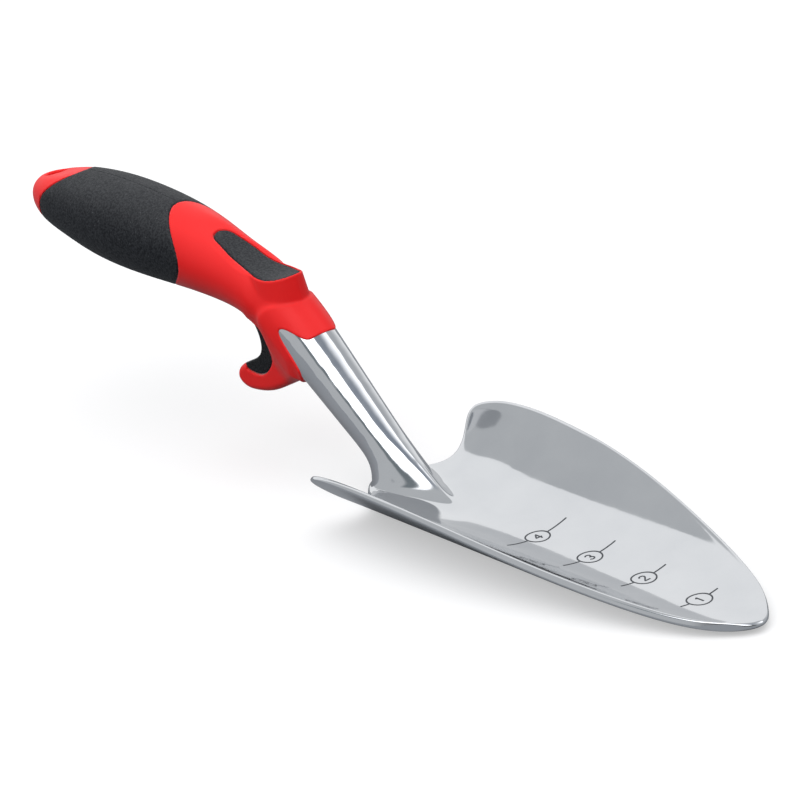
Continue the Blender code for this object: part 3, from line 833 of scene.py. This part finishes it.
def make_sleeve():
    """Tube with rounded ends and a fine parting groove along its top."""
    turns, depths = np.array(GROOVE).T
    clear = math.radians(GROOVE_CLEAR)
    plain = np.linspace(0, 2 * math.pi, SLEEVE_SIDES + 1)
    plain = plain[(plain > clear) & (plain < 2 * math.pi - clear)]
    angles = np.concatenate([np.radians(turns), plain])
    sunk = np.concatenate([depths, np.zeros(len(plain))])
    rear, front = sleeve_ends(angles)
    length = front - rear
    edge = SLEEVE_ROUNDING
    quarter = np.linspace(0, math.pi / 2, SLEEVE_EDGE)
    # Station and depth under the outer face, from the rear rim over the outside and back inside.
    rows = []
    for turn in quarter:
        rows.append((rear + edge * (1 - math.cos(turn)), edge * (1 - math.sin(turn))))
    for u in np.linspace(0, 1, SLEEVE_OUTER)[1:-1]:
        rows.append((rear + edge + (length - 2 * edge) * u, 0.0))
    for turn in quarter[::-1]:
        rows.append((front - edge * (1 - math.cos(turn)), edge * (1 - math.sin(turn))))
    for u in np.linspace(1, 0, SLEEVE_INNER):
        rows.append((rear + length * u, SLEEVE_WALL))
    rings = []
    for s, depth in rows:
        radius = body_radius(s) - depth
        if depth < SLEEVE_WALL:
            radius = radius - sunk
        rings.append(section_points(s, angles, radius))
    faces = skin(numbered(rings), closed=True)
    sleeve = face_outwards(make_object("soft_sleeve", np.concatenate(rings), faces))
    return cut(sleeve, hang_hole())


# --- Depth marks ---


def ribbon(surface, centre_line, closed, vertices, faces):
    """Add a thin band, proud of a surface, along a line in plan to a mesh's vertices and faces."""
    line = np.array(centre_line, float)
    ahead = np.roll(line, -1, axis=0) - line
    behind = line - np.roll(line, 1, axis=0)
    if not closed:
        ahead[-1] = behind[-1]
        behind[0] = ahead[0]
    along = ahead / np.linalg.norm(ahead, axis=1)[:, None]
    along = along + behind / np.linalg.norm(behind, axis=1)[:, None]
    along /= np.linalg.norm(along, axis=1)[:, None]
    side = np.column_stack([-along[:, 1], along[:, 0]]) * MARK_STROKE / 2
    first = len(vertices)
    for point, offset in zip(line, side):
        for sign, proud in ((1, MARK_PROUD), (-1, MARK_PROUD), (-1, -MARK_DEPTH), (1, -MARK_DEPTH)):
            x, y = point + sign * offset
            above = (Vector((x, y, HIGH_ABOVE)) - ORIGIN) * MM
            hit, normal, _, _ = surface.ray_cast(above, Vector((0, 0, -1)))
            vertices.append(tuple((hit / MM + ORIGIN) + normal * proud))
    count = len(line)
    for i in range(count if closed else count - 1):
        here, there = first + 4 * i, first + 4 * ((i + 1) % count)
        for k in range(4):
            m = (k + 1) % 4
            faces.append((here + k, here + m, there + m, there + k))
    if not closed:
        faces.append(tuple(first + k for k in range(4)))
        faces.append(tuple(first + 4 * (count - 1) + k for k in range(4)))


def resample(line, spacing):
    """Points along a polyline at most this far apart, keeping its corners."""
    points = [np.array(line[0], float)]
    for start, end in zip(line, line[1:]):
        start, end = np.array(start, float), np.array(end, float)
        steps = max(1, math.ceil(np.linalg.norm(end - start) / spacing))
        points += [start + (end - start) * k / steps for k in range(1, steps + 1)]
    return points


def make_marks(casting):
    """Rings, side strokes and digits laid on the blade's upper face, one inch apart."""
    bpy.context.view_layer.update()
    surface = BVHTree.FromObject(casting, bpy.context.evaluated_depsgraph_get())
    vertices, faces = [], []
    for number, length in enumerate(MARK_LENGTHS, start=1):
        x = MARK_TIP_X - INCH * number
        turns = round_turns(ROUND_SIDES)
        circle = [(x + MARK_CIRCLE * math.cos(a), MARK_CIRCLE * math.sin(a)) for a in turns]
        ribbon(surface, circle, True, vertices, faces)
        for side in (-1, 1):
            line = [(x, side * MARK_CIRCLE), (x, side * length / 2)]
            ribbon(surface, resample(line, STROKE_SPACING), False, vertices, faces)
        tall, wide = DIGIT_HALF_HEIGHT, DIGIT_HALF_HEIGHT * DIGIT_NARROWING
        for stroke in DIGITS[number]:
            line = [(x - tall * v, wide * u) for u, v in stroke]
            ribbon(surface, resample(line, DIGIT_SPACING), False, vertices, faces)
    return face_outwards(make_object("depth_marks", vertices, faces))


# --- Materials ---


class Nodes:
    """Short calls to build a node tree."""

    def __init__(self, owner):
        owner.use_nodes = True
        self.tree = owner.node_tree
        self.tree.nodes.clear()

    def add(self, kind, inputs=None, **settings):
        node = self.tree.nodes.new(kind)
        for key, value in settings.items():
            setattr(node, key, value)
        for key, value in (inputs or {}).items():
            if isinstance(value, bpy.types.NodeSocket):
                self.tree.links.new(value, node.inputs[key])
            else:
                node.inputs[key].default_value = value
        return node

    def math(self, operation, a, b=0.0):
        return self.add("ShaderNodeMath", {0: a, 1: b}, operation=operation).outputs[0]

    def product(self, *factors):
        result = factors[0]
        for factor in factors[1:]:
            result = self.math("MULTIPLY", result, factor)
        return result

    def degrees(self, angle):
        return self.product(angle, 180 / math.pi)

    def split(self, vector):
        return self.add("ShaderNodeSeparateXYZ", {0: vector}).outputs

    def dot(self, vector, direction):
        inputs = {0: vector, 1: tuple(direction)}
        node = self.add("ShaderNodeVectorMath", inputs, operation="DOT_PRODUCT")
        return node.outputs["Value"]

    def ramp(self, value, low, high, to_low=0.0, to_high=1.0):
        """Ease from to_low at low to to_high at high."""
        inputs = {"Value": value, "From Min": low, "From Max": high}
        inputs.update({"To Min": to_low, "To Max": to_high})
        node = self.add("ShaderNodeMapRange", inputs, interpolation_type="SMOOTHSTEP")
        return node.outputs["Result"]

    def window(self, value, low, high, soft_low, soft_high):
        """One between low and high, with soft ends of their own half widths."""
        rise = self.ramp(value, low - soft_low, low + soft_low)
        return self.product(rise, self.ramp(value, high + soft_high, high - soft_high))

    def mix(self, factor, a, b):
        node = self.add("ShaderNodeMix", data_type="RGBA")
        for socket, value in ((node.inputs[0], factor), (node.inputs[6], a), (node.inputs[7], b)):
            if isinstance(value, bpy.types.NodeSocket):
                self.tree.links.new(value, socket)
            else:
                socket.default_value = value
        return node.outputs[2]

    def noise(self, vector, scale, detail=3.0, roughness=0.5):
        node = self.add(
            "ShaderNodeTexNoise",
            {"Vector": vector, "Scale": scale, "Detail": detail, "Roughness": roughness},
        )
        return node.outputs["Fac"]

    def position(self, stretch=(1.0, 1.0, 1.0)):
        """Place on the object in metres, stretched along the axes."""
        where = self.add("ShaderNodeTexCoord").outputs["Object"]
        return self.add("ShaderNodeMapping", {"Vector": where, "Scale": stretch}).outputs[0]

    def bump(self, height, distance, strength=1.0, normal=None):
        inputs = {"Height": height, "Distance": distance, "Strength": strength}
        if normal is not None:
            inputs["Normal"] = normal
        return self.add("ShaderNodeBump", inputs).outputs[0]

    def surface(self, **inputs):
        shader = self.add(
            "ShaderNodeBsdfPrincipled", {k.replace("_", " "): v for k, v in inputs.items()}
        )
        self.add("ShaderNodeOutputMaterial", {"Surface": shader.outputs[0]})


def cast_aluminium():
    """Polished metal with fine lengthwise marks, and a hand-finished waviness on the neck."""
    material = bpy.data.materials.new("polished_cast_aluminium")
    n = Nodes(material)
    where = n.position()
    along = n.position((0.12, 1.0, 1.0))
    cloud = n.noise(where, 60.0, 4.0)
    marks = n.noise(along, 900.0, 3.0, 0.6)
    grain = n.noise(where, 2600.0, 2.0)
    waves = n.noise(where, 75.0, 2.0)
    axes = n.split(n.add("ShaderNodeTexCoord").outputs["Object"])
    beside = n.ramp(n.math("ABSOLUTE", axes[1]), 0.020, 0.014)
    neck_part = n.product(n.ramp(axes[2], 0.006, 0.016), beside)
    hand_finished = n.math("MAXIMUM", neck_part, 0.1)
    colour = n.mix(cloud, (0.74, 0.755, 0.78, 1), (0.86, 0.87, 0.885, 1))
    rough = n.math("ADD", n.ramp(cloud, 0.3, 0.7, 0.035, 0.07), n.product(marks, 0.03))
    bend = n.bump(waves, 0.0009, n.product(hand_finished, 0.5))
    bend = n.bump(marks, 0.000004, 0.4, bend)
    bend = n.bump(grain, 0.000002, 0.5, bend)
    n.surface(Base_Color=colour, Metallic=1.0, Roughness=rough, Normal=bend)
    return material


def red_plastic():
    """Satin red with a faint grain."""
    material = bpy.data.materials.new("satin_red_polypropylene")
    n = Nodes(material)
    where = n.position()
    cloud = n.noise(where, 45.0, 4.0)
    grain = n.noise(where, 3200.0, 2.0)
    fine = n.noise(where, 900.0, 3.0)
    colour = n.mix(cloud, (0.82, 0.009, 0.011, 1), (0.90, 0.015, 0.014, 1))
    rough = n.math("ADD", n.ramp(cloud, 0.3, 0.7, 0.30, 0.40), n.product(fine, 0.06))
    bend = n.bump(fine, 0.00002, 0.5)
    bend = n.bump(grain, 0.000012, 0.6, bend)
    n.surface(
        Base_Color=colour, Roughness=rough, Normal=bend, IOR=1.49, Specular_IOR_Level=0.26
    )
    return material


def black_rubber(name, painted_brightness):
    """Soft grip: pebbled black, dust specks and painted light on upward faces; the second argument
    scales the colour, painting light or shade on one piece.
    """
    material = bpy.data.materials.new(name)
    n = Nodes(material)
    where = n.position()
    cloud = n.noise(where, 55.0, 4.0)
    grain = n.noise(where, 1700.0, 4.0, 0.65)
    pebble = n.noise(where, 1350.0, 2.0, 0.6)
    dark = (*(c * painted_brightness for c in (0.0032, 0.0042, 0.0065)), 1)
    light = (*(c * painted_brightness for c in (0.0175, 0.020, 0.0245)), 1)
    tone = n.math("ADD", n.product(cloud, 0.35), n.product(n.ramp(pebble, 0.36, 0.64), 0.65))
    colour = n.mix(tone, dark, light)
    # Painted light: upward faces turn a lighter grey as if lit from above, broken up by the cloud
    # and the pebbles.
    upward = n.split(n.add("ShaderNodeNewGeometry").outputs["Normal"])[2]
    painted_top_light = n.product(n.ramp(upward, 0.2, 0.95), n.ramp(cloud, 0.2, 0.8, 0.5, 0.8))
    painted_top_light = n.product(painted_top_light, n.ramp(pebble, 0.2, 0.7, 0.62, 1.0))
    colour = n.mix(painted_top_light, colour, (0.047, 0.049, 0.053, 1))
    speck = n.add("ShaderNodeTexVoronoi", {"Vector": where, "Scale": 420.0}).outputs["Distance"]
    dust = n.product(n.ramp(speck, 0.12, 0.05), 0.25)
    colour = n.mix(dust, colour, (0.25, 0.26, 0.27, 1))
    rough = n.ramp(grain, 0.3, 0.7, 0.52, 0.68)
    bend = n.bump(n.math("ADD", n.product(grain, 0.3), pebble), 0.00011, 1.0)
    shine = n.ramp(pebble, 0.36, 0.66, 0.16, 0.38)
    n.surface(Base_Color=colour, Roughness=rough, Normal=bend, Specular_IOR_Level=shine)
    return material


def etched():
    """Dull dark grey of the depth marks."""
    material = bpy.data.materials.new("dark_etched_mark")
    n = Nodes(material)
    cloud = n.noise(n.position(), 1500.0, 3.0)
    colour = n.mix(cloud, (0.030, 0.034, 0.042, 1), (0.085, 0.09, 0.10, 1))
    rough = n.ramp(cloud, 0.3, 0.7, 0.5, 0.7)
    n.surface(Base_Color=colour, Roughness=rough, Normal=n.bump(cloud, 0.00003))
    return material


# --- Studio ---


def pale_floor():
    """A flat floor; polished and matt surfaces receive less from it than the camera sees."""
    size = FLOOR_HALF_SIZE
    mesh = bpy.data.meshes.new("floor")
    corners = [(-size, -size, 0), (size, -size, 0), (size, size, 0), (-size, size, 0)]
    mesh.from_pydata(corners, [], [(0, 1, 2, 3)])
    floor = bpy.data.objects.new("floor", mesh)
    bpy.context.scene.collection.objects.link(floor)
    material = bpy.data.materials.new("pale_floor")
    n = Nodes(material)
    seen = n.mix(n.noise(n.position(), 3.0, 2.0), *FLOOR_SEEN)
    ray = n.add("ShaderNodeLightPath").outputs
    unseen = n.mix(ray["Is Glossy Ray"], FLOOR_BOUNCE, FLOOR_MIRRORED)
    n.surface(
        Base_Color=n.mix(ray["Is Camera Ray"], unseen, seen),
        Roughness=0.9,
        Specular_IOR_Level=0.1,
        Emission_Color=(1, 1, 1, 1),
        Emission_Strength=n.product(ray["Is Camera Ray"], FLOOR_GLOW),
    )
    floor.data.materials.append(material)


def direction(azimuth, elevation):
    a, e = math.radians(azimuth), math.radians(elevation)
    return Vector((math.cos(a) * math.cos(e), math.sin(a) * math.cos(e), math.sin(e)))


def grey_room(n, where, azimuth, elevation):
    """The walls that polished metal mirrors: grey, with a white sweep and a dark camera side."""
    ahead = n.ramp(n.split(where)[0], *CEILING_AHEAD)
    room = n.mix(n.product(n.ramp(elevation, *CEILING_RISE), ahead), ROOM_GREY, CEILING_DIM)
    side = n.product(n.ramp(azimuth, *SIDE_TURN), n.ramp(elevation, *SIDE_TOP))
    room = n.mix(side, room, SIDE_GREY)
    sweep = n.product(n.ramp(elevation, *SWEEP_TOP), n.ramp(azimuth, *SWEEP_END))
    room = n.mix(n.product(sweep, n.ramp(azimuth, *SWEEP_START)), room, SWEEP_WHITE)
    # A dark camera side keeps the matt pieces' sheen low.
    front = n.dot(where, direction(*CAMERA_SIDE))
    return n.mix(n.ramp(front, *CAMERA_SIDE_EDGE), room, CAMERA_SIDE_DARK)


def with_bands(n, where, room):
    """The room with soft boxes laid round the neck's axis."""
    axis = Vector((math.cos(NECK_PITCH), 0.0, -math.sin(NECK_PITCH)))
    view = Vector(CAMERA_BACK)
    facing = (view - axis * view.dot(axis)).normalized()
    lean = n.dot(where, axis)
    side_on = n.dot(where, facing.cross(axis))
    turn = n.degrees(n.math("ARCTAN2", side_on, n.dot(where, facing)))
    reach = n.window(lean, *BAND_REACH, BAND_SOFTNESS, BAND_SOFTNESS)
    for ends, softness, light in BANDS:
        inside = n.window(turn, *ends, *softness)
        if light[0] < 1.0:
            inside = n.product(inside, n.ramp(lean, *FRAME_END))
        room = n.mix(n.product(inside, reach), room, (*light, 1))
    return room


def soft_sky(n, where, elevation):
    """The light that matt surfaces see: brighter overhead, with a fill from one side."""
    fill = n.math("MAXIMUM", n.dot(where, direction(*FILL_FROM)), 0.0)
    glow = n.ramp(elevation, *SKY_RISE, SKY_LOW, SKY_HIGH)
    glow = n.math("ADD", glow, n.product(fill, FILL_STRENGTH))
    tinted = {channel: n.product(glow, share) for channel, share in enumerate(SKY_TINT)}
    return n.add("ShaderNodeCombineXYZ", tinted).outputs[0]


def studio_world():
    """Give polished surfaces a room to mirror, and matt ones a soft sky."""
    world = bpy.data.worlds.new("studio")
    bpy.context.scene.world = world
    n = Nodes(world)
    where = n.add("ShaderNodeTexCoord").outputs["Generated"]
    where = n.add("ShaderNodeVectorMath", {0: where}, operation="NORMALIZE").outputs[0]
    x, y, z = n.split(where)
    azimuth = n.math("ADD", n.degrees(n.math("ARCTAN2", y, x)), 360.0)
    azimuth = n.math("MODULO", azimuth, 360.0)
    elevation = n.degrees(n.math("ARCSINE", z))
    room = with_bands(n, where, grey_room(n, where, azimuth, elevation))
    # A mirror image of a mirror image is dimmer: polished metal is not a perfect mirror.
    path = n.add("ShaderNodeLightPath").outputs
    twice = n.ramp(path["Glossy Depth"], *SECOND_MIRROR)
    room = n.mix(n.product(twice, SECOND_MIRROR_LOSS), room, SECOND_MIRROR_COLOUR)
    picked = n.mix(path["Is Glossy Ray"], soft_sky(n, where, elevation), room)
    background = n.add("ShaderNodeBackground", {"Color": picked, "Strength": 1.0})
    n.add("ShaderNodeOutputWorld", {"Surface": background.outputs[0]})


def camera():
    data = bpy.data.cameras.new("camera")
    data.sensor_width = CAMERA_SENSOR
    data.lens = CAMERA_LENS
    data.clip_start, data.clip_end = CAMERA_CLIP
    obj = bpy.data.objects.new("camera", data)
    bpy.context.scene.collection.objects.link(obj)
    turn = Matrix((CAMERA_RIGHT, CAMERA_UP, CAMERA_BACK)).transposed().to_4x4()
    obj.matrix_world = Matrix.Translation(CAMERA_PLACE) @ turn
    bpy.context.scene.camera = obj


def make_tool():
    """The five pieces of the trowel, and the depth marks on its blade."""
    metal, red = cast_aluminium(), red_plastic()
    # The thumb pad's copy of the black is a little brighter: painted light on its upward face.
    black, painted_lit_pad_black = black_rubber("black_soft_grip", 1.0), black_rubber("black_soft_thumb_painted_light", 1.05)
    casting = finish_piece(make_casting(), "head_casting", metal, mirrored=True)
    finish_piece(make_marks(casting), None, etched(), mirrored=True)
    step = HANDLE_STEP
    core = cut(moulded("red_handle", handle_field, HANDLE_GRID, step), make_socket())
    finish_piece(core, "handle_core", red)
    finish_piece(make_sleeve(), "rear_grip_sleeve", black)
    pad = moulded("thumb_pad_soft", thumb_pad_field, THUMB_PAD_GRID, PAD_STEP)
    finish_piece(pad, "thumb_pad", painted_lit_pad_black)
    pad = moulded("finger_pad_soft", finger_pad_field, FINGER_PAD_GRID, PAD_STEP)
    # The finger pad's copy of the black is half as bright: painted shade for the hook's throat.
    finish_piece(pad, "finger_pad", black_rubber("black_soft_finger_painted_shade", 0.5))


def main():
    make_tool()
    pale_floor()
    studio_world()
    camera()
    bpy.context.scene.view_settings.view_transform = "Standard"
    bpy.context.view_layer.update()


main()
